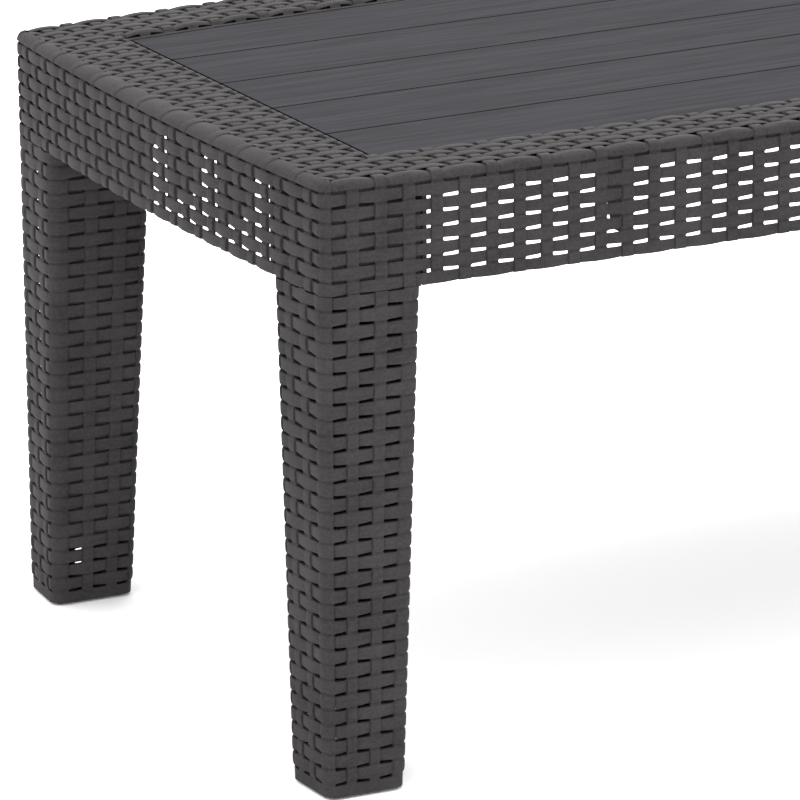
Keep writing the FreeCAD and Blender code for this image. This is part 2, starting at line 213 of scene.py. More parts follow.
class Sheet:
    """A woven sheet: where its lines are, how high it stands and where it is open."""

    def __init__(self, q, strands, places, relief=RELIEF, parity=0, flare=FLARE):
        self.q = q
        self.flare = flare
        self.strands = strands
        self.places = places
        self.parity = parity
        middle = places == MIDWAY
        stake = np.round(q)
        off = np.abs(q - stake)
        in_stake = off <= STAKE_HALF + SLACK
        sign = np.where((stake[None, :] + strands[:, None] + parity) % 2 == 0, 1.0, -1.0)
        over = sign > 0
        wave = np.cos(np.pi * off)[None, :] * sign
        away = np.where(over, off[None, :], 1 - off[None, :])

        # half height of the strand at each line, in row pitches
        slot_end = np.interp(off, [GAP_START, SLOT_FULL], [SLOT_END_HEIGHT, 1.0])
        slot_end = np.where(in_stake, 1.0, slot_end)
        half = STRAND_HALF + SWELL * wave + (1 - slot_end)[None, :] * (0.5 - STRAND_HALF)
        place = np.where(middle, 0.0, places)[:, None]
        p = strands[:, None] + place * half

        # a midway line lies between the edges of its two strands
        for row in np.nonzero(middle)[0]:
            p[row] = (p[row - 1] + p[row + 1]) / 2
        self.p = p

        strand_height = relief * crest(away, STRAND_REACH) - STRAND_ROUND * rounding(place)
        along = np.abs(p - strands[:, None])
        along = np.where(over, 1 - along, along)
        stake_height = relief * crest(along, STAKE_REACH)
        stake_height = stake_height - STAKE_ROUND * rounding(off / STAKE_HALF)[None, :]
        height = np.where(in_stake[None, :] & ~over, stake_height, strand_height)
        for row in np.nonzero(middle)[0]:
            valley = np.minimum(height[row - 1], height[row + 1])
            height[row] = np.where(in_stake, np.minimum(stake_height[row], 0) - CREASE, valley)
        self.height = height

        gap_cell = (off[:-1] >= GAP_START - SLACK) & (off[1:] >= GAP_START - SLACK)
        slot_cell = middle[:-1] | middle[1:]
        self.hole = slot_cell[:, None] & gap_cell[None, :]

    def front(self, mesh, place, flip=False):
        """The outer face.  place(q, p, height) gives points."""
        q = np.broadcast_to(self.q[None, :], self.p.shape)
        mesh.grid(place(q, self.p, self.height), ~self.hole, flip)

    def back(self, mesh, place, depth, blind=(), flip=False):
        """The inner face and the walls of the slots.

        blind lists strands whose slots, next above them, don't go through.
        """
        rows = np.union1d(np.nonzero(np.abs(self.places) >= 1)[0], [0, len(self.places) - 1])
        off = np.abs(self.q - np.round(self.q))
        columns = np.nonzero(off >= GAP_START - SLACK)[0]
        ends = [0, len(self.q) - 1]
        columns = np.unique(np.concatenate([columns, ends]))
        q = self.q[columns]
        p = self.p[np.ix_(rows, columns)]
        side = self.places[rows]
        grow = np.where(side == 1.0, -1.0, np.where(side == -1.0, 1.0, 0.0))
        grow[0], grow[-1] = 0.0, 0.0
        p = p + (grow * self.flare / ROW_PITCH)[:, None]
        away = q - np.round(q)
        at_end = np.abs(np.abs(away) - GAP_START) < SLACK
        q = q - np.where(at_end, np.sign(away), 0.0) * END_FLARE * self.flare / SIDE_PITCH
        q_full = np.broadcast_to(q[None, :], p.shape)
        points = place(q_full, p, np.full(p.shape, -depth))
        hole = self.hole_cells(rows, columns)
        blind_row = np.isin(self.strands[rows][:-1], blind) & (hole.any(1))
        open_hole = hole & ~blind_row[:, None]
        mesh.grid(points, ~open_hole, not flip)

        # slot walls, from the outer face to the inner face
        q_front = np.broadcast_to(self.q[columns][None, :], p.shape)
        front = place(q_front, self.p[np.ix_(rows, columns)],
                      self.height[np.ix_(rows, columns)])
        count = p.size
        index = np.arange(count).reshape(p.shape)
        walls = []
        cells = np.argwhere(hole)
        inside = np.zeros((hole.shape[0] + 2, hole.shape[1] + 2), bool)
        inside[1:-1, 1:-1] = hole
        for r, c in cells:
            around = ((r - 1, c, index[r, c], index[r, c + 1]),
                      (r, c + 1, index[r, c + 1], index[r + 1, c + 1]),
                      (r + 1, c, index[r + 1, c + 1], index[r + 1, c]),
                      (r, c - 1, index[r + 1, c], index[r, c]))
            for rr, cc, a, b in around:
                if not inside[rr + 1, cc + 1]:
                    walls.append((a, a + count, b + count, b))
        walls = np.array(walls).reshape(-1, 4)
        if flip:
            walls = walls[:, ::-1]
        mesh.add(np.concatenate([front.reshape(-1, 3), points.reshape(-1, 3)]), walls)

    def skirt(self, mesh, place, column=None, row=None, flip=False):
        """A wall that hangs from one border of the outer face."""
        q = np.broadcast_to(self.q[None, :], self.p.shape)
        points = place(q, self.p, self.height)
        border = points[row] if column is None else points[:, column]
        lower = border.copy()
        lower[:, 2] = SKIRT_FOOT
        mesh.grid(np.stack([border, lower]), None, flip)

    def hole_cells(self, rows, columns):
        """Which cells of the inner face, between these lines, are slots."""
        middle = self.places[rows] == MIDWAY
        slot = middle[:-1] | middle[1:]
        off = np.abs(self.q[columns] - np.round(self.q[columns]))
        gap = (off[:-1] >= GAP_START - SLACK) & (off[1:] >= GAP_START - SLACK)
        across_stake = np.diff(self.q[columns]) > STAKE_HALF
        return slot[:, None] & (gap & ~across_stake)[None, :]


# ---- outline of the table top ---------------------------------------------------------------
def spread(q, stakes, pitch, length):
    """Distance from the corner of a line given in stake pitches along one face."""
    first = FIRST_SLOT - (0.5 - GAP_START) * pitch
    knots = [0, GAP_START, 0.5]
    values = [0, first, FIRST_SLOT]
    for i in range(1, stakes):
        knots += [i, i + 0.5]
        values += [FIRST_SLOT + (i - 0.5) * pitch, FIRST_SLOT + i * pitch]
    knots = knots[:-1] + [stakes - 0.5, stakes - GAP_START, stakes]
    values = values[:-1] + [length - FIRST_SLOT, length - first, length]
    return np.interp(q, knots, values)


FACES = {
    "front": (0, STAKES_SIDE),
    "right": (STAKES_SIDE, STAKES_END),
    "back": (STAKES_SIDE + STAKES_END, STAKES_SIDE),
    "left": (2 * STAKES_SIDE + STAKES_END, STAKES_END),
}
ROUND_TURN = math.atan(SIDE_BOW * 4 / (2 * HALF_LENGTH)) + math.atan(END_BOW * 4 / (2 * HALF_WIDTH))
HALF_CORNER = (math.pi / 2 + ROUND_TURN) / 2
TANGENT = CORNER_ROUND / math.tan(HALF_CORNER)


def face_line(face, q):
    """Points and outward normals of the outline along one face, before its corners are rounded."""
    start, stakes = FACES[face]
    along_side = face in ("front", "back")
    length = 2 * (HALF_LENGTH if along_side else HALF_WIDTH)
    pitch = SIDE_PITCH if along_side else END_PITCH
    t = spread(q - start, stakes, pitch, length) - length / 2
    step = 1e-5
    if along_side:
        y = side_y(t)
        slope = (side_y(np.clip(t + step, -HALF_LENGTH, HALF_LENGTH))
                 - side_y(np.clip(t - step, -HALF_LENGTH, HALF_LENGTH))) / (2 * step)
        sign = -1 if face == "front" else 1
        point = np.stack([-sign * t, sign * y], -1)
        normal = np.stack([sign * slope, np.full_like(t, sign)], -1)
        edge = length / 2 - np.abs(t)
    else:
        x = end_x(t)
        slope = (end_x(np.clip(t + step, -HALF_WIDTH, HALF_WIDTH))
                 - end_x(np.clip(t - step, -HALF_WIDTH, HALF_WIDTH))) / (2 * step)
        sign = 1 if face == "right" else -1
        point = np.stack([sign * x, sign * t], -1)
        normal = np.stack([np.full_like(t, sign), -sign * slope], -1)
        edge = length / 2 - np.abs(t)
    normal = normal / np.linalg.norm(normal, axis=-1, keepdims=True)
    return point, normal, edge


def outline(face, q):
    """Points and outward normals of the rounded outline along one face."""
    point, normal, edge = face_line(face, q)
    sx = np.sign(point[..., 0])
    sy = np.sign(point[..., 1])
    side_tilt = math.atan(SIDE_BOW * 4 / (2 * HALF_LENGTH))
    end_tilt = math.atan(END_BOW * 4 / (2 * HALF_WIDTH))
    side_normal = np.stack([sx * math.sin(side_tilt), sy * math.cos(side_tilt)], -1)
    end_normal = np.stack([sx * math.cos(end_tilt), sy * math.sin(end_tilt)], -1)
    own, other = (side_normal, end_normal) if face in ("front", "back") else (
        end_normal, side_normal)
    corner = np.stack([sx * HALF_LENGTH, sy * HALF_WIDTH], -1)
    middle = own + other
    middle = middle / np.linalg.norm(middle, axis=-1, keepdims=True)
    centre = corner - middle * (CORNER_ROUND / math.sin(HALF_CORNER))
    share = np.clip(edge / TANGENT, 0, 1)[..., None]
    turn = (math.pi - 2 * HALF_CORNER) / 2
    angle = turn * share
    across = own - middle * np.sum(own * middle, -1, keepdims=True)
    across = across / np.linalg.norm(across, axis=-1, keepdims=True)
    radial = middle * np.cos(angle) + across * np.sin(angle)
    rounded = centre + radial * CORNER_ROUND
    near = (edge < TANGENT)[..., None]
    return np.where(near, rounded, point), np.where(near, radial, normal)


# ---- materials ------------------------------------------------------------------------------
def new_material(name):
    material = bpy.data.materials.new(name)
    material.use_nodes = True
    nodes = material.node_tree.nodes
    return material, nodes, material.node_tree.links, nodes["Principled BSDF"]


def add_node(nodes, kind, **values):
    node = nodes.new(kind)
    for key, value in values.items():
        if key in node.inputs:
            node.inputs[key].default_value = value
        else:
            setattr(node, key, value)
    return node


def noise(nodes, links, vector, scale, detail=3.0, roughness=0.55):
    node = add_node(nodes, "ShaderNodeTexNoise")
    node.inputs["Scale"].default_value = scale
    node.inputs["Detail"].default_value = detail
    node.inputs["Roughness"].default_value = roughness
    links.new(vector, node.inputs["Vector"])
    return node.outputs["Fac"]


def remap(nodes, links, value, low, high, start=0.0, end=1.0):
    node = add_node(nodes, "ShaderNodeMapRange")
    node.inputs["From Min"].default_value = start
    node.inputs["From Max"].default_value = end
    node.inputs["To Min"].default_value = low
    node.inputs["To Max"].default_value = high
    links.new(value, node.inputs["Value"])
    return node.outputs["Result"]


def stretch(nodes, links, vector, scale):
    node = add_node(nodes, "ShaderNodeMapping")
    node.inputs["Scale"].default_value = scale
    links.new(vector, node.inputs["Vector"])
    return node.outputs["Vector"]


def woven_resin(name, grain_scale):
    """Dark warm grey resin with fine streaks along the strands and a fine moulded grain."""
    material, nodes, links, shader = new_material(name)
    position = add_node(nodes, "ShaderNodeTexCoord").outputs["Object"]
    cloud = noise(nodes, links, position, 26.0, 2.0)
    grain = noise(nodes, links, position, 1500.0, 2.0)
    speckle = noise(nodes, links, position, 520.0, 3.0)
    streak = noise(nodes, links, stretch(nodes, links, position, grain_scale), 1.0, 3.0)
    ramp = add_node(nodes, "ShaderNodeMix", data_type="RGBA")
    ramp.inputs["A"].default_value = (0.019, 0.0172, 0.0176, 1)
    ramp.inputs["B"].default_value = (0.041, 0.0378, 0.0386, 1)
    blend = add_node(nodes, "ShaderNodeMath", operation="ADD")
    links.new(remap(nodes, links, cloud, 0.0, 0.35, 0.3, 0.7), blend.inputs[0])
    links.new(remap(nodes, links, streak, 0.0, 0.25, 0.3, 0.7), blend.inputs[1])
    mottle = add_node(nodes, "ShaderNodeMath", operation="ADD")
    links.new(blend.outputs[0], mottle.inputs[0])
    links.new(remap(nodes, links, speckle, 0.0, 0.4, 0.35, 0.65), mottle.inputs[1])
    links.new(mottle.outputs[0], ramp.inputs["Factor"])
    links.new(ramp.outputs["Result"], shader.inputs["Base Color"])
    links.new(remap(nodes, links, streak, 0.42, 0.6), shader.inputs["Roughness"])
    shader.inputs["Specular IOR Level"].default_value = 0.03
    height = add_node(nodes, "ShaderNodeMath", operation="MULTIPLY_ADD")
    links.new(streak, height.inputs[0])
    height.inputs[1].default_value = 0.8
    links.new(grain, height.inputs[2])
    bump = add_node(nodes, "ShaderNodeBump")
    bump.inputs["Strength"].default_value = 0.35
    bump.inputs["Distance"].default_value = 0.00015
    links.new(height.outputs[0], bump.inputs["Height"])
    links.new(bump.outputs["Normal"], shader.inputs["Normal"])
    return material


def plank_resin():
    """Cool dark grey resin with a brushed wood grain along the planks; painted shade in the
    grooves.
    """
    material, nodes, links, shader = new_material("plank_resin")
    position = add_node(nodes, "ShaderNodeTexCoord").outputs["Object"]
    fine = noise(nodes, links, stretch(nodes, links, position, (22.0, 1100.0, 40.0)), 1.0, 4.0)
    broad = noise(nodes, links, stretch(nodes, links, position, (9.0, 200.0, 20.0)), 1.0, 3.0)
    ramp = add_node(nodes, "ShaderNodeMix", data_type="RGBA")
    ramp.inputs["A"].default_value = (0.0255, 0.0249, 0.0270, 1)
    ramp.inputs["B"].default_value = (0.0400, 0.0392, 0.0430, 1)
    blend = add_node(nodes, "ShaderNodeMath", operation="ADD")
    links.new(remap(nodes, links, fine, 0.0, 0.5, 0.35, 0.65), blend.inputs[0])
    links.new(remap(nodes, links, broad, 0.0, 0.5, 0.35, 0.65), blend.inputs[1])
    links.new(blend.outputs[0], ramp.inputs["Factor"])
    # painted shade: below the panel's top face the colour fades to near black, standing in for the
    # shade in the grooves between the planks
    height = add_node(nodes, "ShaderNodeSeparateXYZ")
    links.new(position, height.inputs[0])
    unshaded_top_share = add_node(nodes, "ShaderNodeMapRange")
    unshaded_top_share.inputs["From Min"].default_value = PANEL_TOP - 0.5 * MM
    unshaded_top_share.inputs["From Max"].default_value = PANEL_TOP - 0.2 * MM
    links.new(height.outputs["Z"], unshaded_top_share.inputs["Value"])
    # near-black painted shade, mixed in where the surface lies down in a groove
    painted_groove_shade = add_node(nodes, "ShaderNodeMix", data_type="RGBA")
    painted_groove_shade.inputs["A"].default_value = (0.006, 0.006, 0.007, 1)
    links.new(unshaded_top_share.outputs[0], painted_groove_shade.inputs["Factor"])
    links.new(ramp.outputs["Result"], painted_groove_shade.inputs["B"])
    links.new(painted_groove_shade.outputs["Result"], shader.inputs["Base Color"])
    links.new(remap(nodes, links, fine, 0.38, 0.55), shader.inputs["Roughness"])
    shader.inputs["Specular IOR Level"].default_value = 0.0
    bump = add_node(nodes, "ShaderNodeBump")
    bump.inputs["Strength"].default_value = 0.5
    bump.inputs["Distance"].default_value = 0.0002
    links.new(fine, bump.inputs["Height"])
    links.new(bump.outputs["Normal"], shader.inputs["Normal"])
    return material


def glide_plastic():
    material, nodes, links, shader = new_material("glide_plastic")
    position = add_node(nodes, "ShaderNodeTexCoord").outputs["Object"]
    grain = noise(nodes, links, position, 900.0, 3.0)
    ramp = add_node(nodes, "ShaderNodeMix", data_type="RGBA")
    ramp.inputs["A"].default_value = (0.012, 0.012, 0.012, 1)
    ramp.inputs["B"].default_value = (0.026, 0.025, 0.024, 1)
    links.new(grain, ramp.inputs["Factor"])
    links.new(ramp.outputs["Result"], shader.inputs["Base Color"])
    links.new(remap(nodes, links, grain, 0.5, 0.75), shader.inputs["Roughness"])
    bump = add_node(nodes, "ShaderNodeBump")
    bump.inputs["Strength"].default_value = 0.4
    bump.inputs["Distance"].default_value = 0.0002
    links.new(grain, bump.inputs["Height"])
    links.new(bump.outputs["Normal"], shader.inputs["Normal"])
    return material


def screw_steel():
    material, nodes, links, shader = new_material("screw_steel")
    position = add_node(nodes, "ShaderNodeTexCoord").outputs["Object"]
    grain = noise(nodes, links, position, 1200.0, 3.0)
    ramp = add_node(nodes, "ShaderNodeMix", data_type="RGBA")
    ramp.inputs["A"].default_value = (0.50, 0.50, 0.49, 1)
    ramp.inputs["B"].default_value = (0.66, 0.66, 0.64, 1)
    links.new(grain, ramp.inputs["Factor"])
    links.new(ramp.outputs["Result"], shader.inputs["Base Color"])
    links.new(remap(nodes, links, grain, 0.25, 0.45), shader.inputs["Roughness"])
    shader.inputs["Metallic"].default_value = 1.0
    return material


WOVEN_SIDE = woven_resin("woven_resin_side", (60.0, 60.0, 900.0))
WOVEN_TOP = woven_resin("woven_resin_top", (60.0, 900.0, 60.0))
PLANKS = plank_resin()
GLIDES = glide_plastic()
STEEL = screw_steel()

frame_pieces = []


# ---- aprons ---------------------------------------------------------------------------------
def lift(xy, normal, out, z):
    """Points at a height, moved outwards along the outline's normals."""
    flat = xy + normal * out[..., None]
    return np.concatenate([flat, z[..., None]], -1)


def apron_z(p):
    """Height of a line of the apron.  Strand 0 is the lowest and slots lie at half numbers."""
    return TOP_ROW + (p - (APRON_ROWS - 0.5)) * ROW_PITCH


def make_apron(face):
    start, stakes = FACES[face]
    relief = RELIEF if face in ("front", "back") else END_RELIEF
    mesh = Mesh()
    q = stake_lines(start, start + stakes, (start, start + stakes))
    strands, places = strand_rows(0, APRON_ROWS)
    keep = (strands < APRON_ROWS) | (places == -1.0)
    sheet = Sheet(q, strands[keep], places[keep], relief)

    def place(qq, pp, height):
        xy, normal = outline(face, qq[0])
        shape = pp.shape + (2,)
        return lift(np.broadcast_to(xy, shape), np.broadcast_to(normal, shape),
                    height - relief, apron_z(pp))

    sheet.front(mesh, place)
    sheet.back(mesh, place, WALL - relief, blind=(APRON_ROWS - 1,))
    bottom = np.stack([
        place(q[None, :], sheet.p[:1], sheet.height[:1])[0],
        place(q[None, :], sheet.p[:1], np.full((1, len(q)), relief - WALL))[0],
    ])
    mesh.grid(bottom, None, True)
    frame_pieces.append(mesh.make("frame_apron_" + face, WOVEN_SIDE))


# ---- edge strand, which turns from the apron into the rim -----------------------------------
EDGE_TURNS = np.linspace(0, math.pi / 2, 11)
RIM_FIRST = 10.0 * MM   # first row of slots in the rim, from the edge
RIM_PITCH = 9.28 * MM
EDGE_REACH = RIM_FIRST - (0.5 - STRAND_HALF) * RIM_PITCH
FIRST_GAP = FIRST_SLOT - (0.5 - GAP_START) * SIDE_PITCH
EDGE_EASE = 25 * MM     # the edge takes its full width over this distance from a corner
CORNER_EDGE = 5.5 * MM  # radius of the edge at the corners
SIDE_EDGE = 4.2 * MM
END_EDGE = 11 * MM      # width of the band across an end
SIDE_EDGE_RELIEF = 1.1 * MM
END_EDGE_RELIEF = 0.5 * MM
EDGE_SWING = (0.6, 1.45)        # share of the relief on the apron's side and on the rim's side
EDGE_TUCK = 0.6 * MM    # how far the edge's lower border lies behind the strand
TAIL_DROPS = np.array([0.1, 0.9]) * MM  # how the inner border turns down
TAIL = 0.4 * MM


def make_edge(face):
    """The top edge: a strand along the sides, a broad rounded band across the ends."""
    start, stakes = FACES[face]
    along_side = face in ("front", "back")
    q = stake_lines(start, start + stakes, (start, start + stakes))
    xy, normal = outline(face, q)
    point, _, edge = face_line(face, q)
    ease = np.clip(edge / EDGE_EASE, 0, 1)
    ease = ease * ease * (3 - 2 * ease)
    foot = TOP_ROW + (0.5 - STRAND_HALF) * ROW_PITCH
    if along_side:
        wide = CORNER_EDGE + (SIDE_EDGE - CORNER_EDGE) * ease
        tall = wide
        reach = np.full(len(q), EDGE_REACH)
    else:
        wide = CORNER_EDGE + (END_EDGE - CORNER_EDGE) * ease
        tall = np.full(len(q), HEIGHT - foot)
        reach = FIRST_GAP + TAIL + np.abs(point[:, 0]) - HALF_LENGTH
        wide = np.minimum(wide, reach - TAIL / 2)
    tall = np.minimum(tall, HEIGHT - foot)
    stake = np.round(q)
    off = np.abs(q - stake)
    in_stake = off <= STAKE_HALF + SLACK
    over = (stake + APRON_ROWS) % 2 == 0
    amount = SIDE_EDGE_RELIEF if along_side else END_EDGE_RELIEF
    strand = amount * crest(np.where(over, off, 1 - off), STRAND_REACH)
    stake_high = amount - STAKE_ROUND * rounding(off / STAKE_HALF)
    level = np.where(in_stake & ~over, stake_high, strand) - amount

    columns = []
    for i in range(len(q)):
        high = HEIGHT - tall[i]
        inward = [0.0, 0.0, *(wide[i] * (1 - np.cos(EDGE_TURNS))), (wide[i] + reach[i]) / 2,
                  reach[i] - TAIL, reach[i]]
        z = [foot, (foot + high) / 2, *(high + tall[i] * np.sin(EDGE_TURNS)), HEIGHT, HEIGHT,
             HEIGHT]
        turn = np.array([0.0, 0.0, *EDGE_TURNS, math.pi / 2, math.pi / 2, math.pi / 2])
        out = level[i] * np.interp(turn, [0, math.pi / 2], EDGE_SWING)
        out[0] -= EDGE_TUCK
        out[-2:] -= TAIL_DROPS
        flat = xy[i] + normal[i] * (out * np.cos(turn) - inward)[:, None]
        columns.append(np.concatenate([flat, (z + out * np.sin(turn))[:, None]], 1))
    mesh = Mesh()
    mesh.grid(np.stack(columns, 1))
    frame_pieces.append(mesh.make("frame_edge_" + face, WOVEN_TOP if along_side else WOVEN_SIDE))


# ---- rim ------------------------------------------------------------------------------------
RIM_ROWS = 5            # whole strands between the edge and the panel, along the sides
RIM_TOP = APRON_ROWS + 1 + RIM_ROWS         # number of the strand that the panel's opening cuts
FIRST_ROW = RIM_TOP - 0.5
MIDDLE_ROWS = 39        # strands across the ends, between the rims along the sides
LAST_ROW = FIRST_ROW + MIDDLE_ROWS
LEFT_END = 3.17         # end of the woven sheet left of the panel, in stake pitches
LEFT_LIP = 3.262        # the opening's left end
LIP_TOP = PANEL_TOP + 0.3 * MM
LIP_WIDTH = 2.6 * MM
LIP_GAP = 1.1 * MM      # how far the lip stands back from the opening
LIP_SLOPE = 4.5 * MM    # the weave comes down to the lip over this distance
SKIRT_FOOT = PANEL_TOP - 3.5 * MM


def rim_depth(p):
    """Distance from the front edge of a row of the rim."""
    return RIM_FIRST + (p - APRON_ROWS - 0.5) * RIM_PITCH


def rim_y(x, p):
    """Y of a row of the rim.  Rows run along X and bend with the long sides."""
    half = side_y(x)
    inner = half - rim_depth(FIRST_ROW)
    middle = -inner + (p - FIRST_ROW) / MIDDLE_ROWS * 2 * inner
    front = -(half - rim_depth(p))
    back = half - rim_depth(FIRST_ROW + LAST_ROW - p)
    return np.where(p < FIRST_ROW, front, np.where(p > LAST_ROW, back, middle))


def rim_point(x, y, height):
    """A point of the rim, which slopes down to the lip beside the opening."""
    outside = np.maximum(np.abs(x) - HALF_LENGTH + END_RIM, np.abs(y) - side_y(x) + SIDE_RIM)
    share = np.clip(1 - (outside - LIP_WIDTH) / LIP_SLOPE, 0, 1)
    return np.stack([x, y, HEIGHT - RIM_RELIEF + height - share * (HEIGHT - LIP_TOP)], -1)


def rim_place(qq, pp, height):
    x = spread(qq, STAKES_SIDE, SIDE_PITCH, 2 * HALF_LENGTH) - HALF_LENGTH
    return rim_point(x, rim_y(x, pp), height)


def lip_place(qq, pp, height):
    """As rim_place, for the half strands beside the panel, which keep the rim's own pitch."""
    x = spread(qq, STAKES_SIDE, SIDE_PITCH, 2 * HALF_LENGTH) - HALF_LENGTH
    front = pp < (FIRST_ROW + LAST_ROW) / 2
    depth = np.where(front, rim_depth(pp), rim_depth(FIRST_ROW + LAST_ROW - pp))
    return rim_point(x, np.where(front, -1, 1) * (side_y(x) - depth), height)


def rim_sheet(first_q, last_q, strands, places):
    return Sheet(stake_lines(first_q, last_q), strands, places, relief=RIM_RELIEF)


def make_rims():
    """The rim: five strands along each side, strands across the ends, and cut half strands."""
    whole = (GAP_START, STAKES_SIDE - GAP_START)
    opening_ends = (LEFT_LIP, STAKES_SIDE - LEFT_LIP)
    back = int(LAST_ROW + 0.5)

    for name, first in (("front", APRON_ROWS + 1), ("back", back)):
        strands, places = strand_rows(first, first + RIM_ROWS - 1)
        sheet = rim_sheet(*whole, strands, places)
        mesh = Mesh()
        sheet.front(mesh, rim_place)
        sheet.back(mesh, rim_place, WALL - RIM_RELIEF)
        frame_pieces.append(mesh.make("frame_rim_" + name, WOVEN_TOP))

    strands, places = strand_rows(RIM_TOP - 1, RIM_TOP)
    keep = np.where(strands < RIM_TOP, places >= 1, places <= -0.5)
    sheet = rim_sheet(*opening_ends, strands[keep], places[keep])
    mesh = Mesh()
    sheet.front(mesh, lip_place)
    sheet.skirt(mesh, lip_place, row=-1)
    strands, places = strand_rows(back - 1, back)
    keep = np.where(strands < back, (places >= 0.5), places == -1)
    sheet = rim_sheet(*opening_ends, strands[keep], places[keep])
    sheet.front(mesh, lip_place)
    sheet.skirt(mesh, lip_place, row=0, flip=True)
    frame_pieces.append(mesh.make("frame_rim_lips", WOVEN_TOP))

    strands, places = strand_rows(RIM_TOP - 1, back)
    keep = np.where(strands < RIM_TOP, places >= 1, (strands < back) | (places == -1))
    for name, first_q, last_q, border in (
            ("left", GAP_START, LEFT_END, -1),
            ("right", STAKES_SIDE - LEFT_END, STAKES_SIDE - GAP_START, 0)):
        sheet = rim_sheet(first_q, last_q, strands[keep], places[keep])
        mesh = Mesh()
        sheet.front(mesh, rim_place)
        sheet.back(mesh, rim_place, WALL - RIM_RELIEF)
        sheet.skirt(mesh, rim_place, column=border, flip=border == -1)
        frame_pieces.append(mesh.make("frame_rim_" + name, WOVEN_TOP))


# ---- ledge and skirt round the panel --------------------------------------------------------
LEDGE_TOP = PANEL_TOP - 8 * MM
LEDGE_WIDTH = 12 * MM
SKIRT_DEPTH = 11 * MM


def opening(inset, count=60):
    """The opening's outline moved inwards, as a closed row of points."""
    a = HALF_LENGTH - END_RIM - inset
    x = np.linspace(-a, a, count)
    y = side_y(x) - SIDE_RIM - inset
    lower = np.stack([x, -y], -1)
    upper = np.stack([x[::-1], y[::-1]], -1)
    return np.concatenate([lower, upper, lower[:1]])


def opening_ring(profile, name, angle):
    """A ring round the opening with a closed profile of (inset, height) points."""
    rows = []
    for inset, z in (*profile, profile[0]):
        xy = opening(inset)
        rows.append(np.concatenate([xy, np.full((len(xy), 1), z)], -1))
    mesh = Mesh()
    mesh.grid(np.stack(rows))
    frame_pieces.append(mesh.make(name, WOVEN_TOP, angle))


LIP_EASE = 0.3 * MM     # the lip's rounded edge
LIP_FOOT = LEDGE_TOP - 1 * MM
LIP_BACK = 0.4 * MM     # how much higher the lip is where the weave meets it


def make_lip():
    """The narrow plain border of the opening, which the ends of the weave run into."""
    inner = -LIP_GAP
    opening_ring([(inner, LIP_FOOT), (inner, LIP_TOP - LIP_EASE), (inner - LIP_EASE, LIP_TOP),
                  (-LIP_WIDTH, LIP_TOP + LIP_BACK), (-LIP_WIDTH, LIP_FOOT)],
                 "frame_panel_lip", 35.0)


def make_ledge():
    under = LEDGE_TOP - WALL
    inner = LEDGE_WIDTH + WALL
    profile = [(0.0, SKIRT_FOOT + 1.0 * MM), (0.0, LEDGE_TOP), (inner, LEDGE_TOP),
               (inner, under - SKIRT_DEPTH), (LEDGE_WIDTH, under - SKIRT_DEPTH),
               (LEDGE_WIDTH, under), (-WALL, under), (-WALL, SKIRT_FOOT + 1.0 * MM)]
    opening_ring(profile, "frame_panel_ledge", 35.0)


# ---- inside of the frame: sockets and gussets -----------------------------------------------
def corner_directions():
    """At the front left corner: along the side, along the end, and inwards from each."""
    on_side, on_end = LEG_TOP
    side = math.atan(float(bow(HALF_LENGTH - on_side, HALF_LENGTH, SIDE_BOW)) / on_side)
    end = math.atan(float(bow(HALF_WIDTH - on_end, HALF_WIDTH, END_BOW)) / on_end)
    return {
        "along_side": np.array([math.cos(side), -math.sin(side)]),
        "along_end": np.array([-math.sin(end), math.cos(end)]),
        "from_side": np.array([math.sin(side), math.cos(side)]),
        "from_end": np.array([math.cos(end), math.sin(end)]),
    }


CORNER = np.array([-HALF_LENGTH, -HALF_WIDTH])
WAYS = corner_directions()


def meet(first, first_distance, second, second_distance):
    """The point at these distances from the corner, measured in two of the directions."""
    matrix = np.array([WAYS[first], WAYS[second]])
    return CORNER + np.linalg.solve(matrix, np.array([first_distance, second_distance]))


def corner_section(widths, inset):
    """Four corners of a section that fits in the corner, set in from the table's outer faces."""
    front, end = widths
    return np.array([
        meet("from_side", inset, "from_end", inset),
        meet("from_side", inset, "along_side", front),
        meet("along_side", front, "along_end", end),
        meet("along_end", end, "from_end", inset),
    ])


CORNER_SIGNS = {"front_left": (1, 1), "front_right": (-1, 1), "back_left": (1, -1),
                "back_right": (-1, -1)}
SIDE_GUSSETS = (-235.3 * MM, 0.0, 235.3 * MM)
END_GUSSETS = (-99 * MM, -27 * MM, 45 * MM, 117 * MM)
GUSSET_FOOT = 359.5 * MM
GUSSET_REACH = (38.0 * MM, 26.0 * MM, 17.0 * MM)      # at the rim, half way and at the foot
GUSSET_KNEE = 384.5 * MM
SOCKET_PLAY = 0.3 * MM
SINK = 0.6 * MM         # the inner walls run this far into the aprons


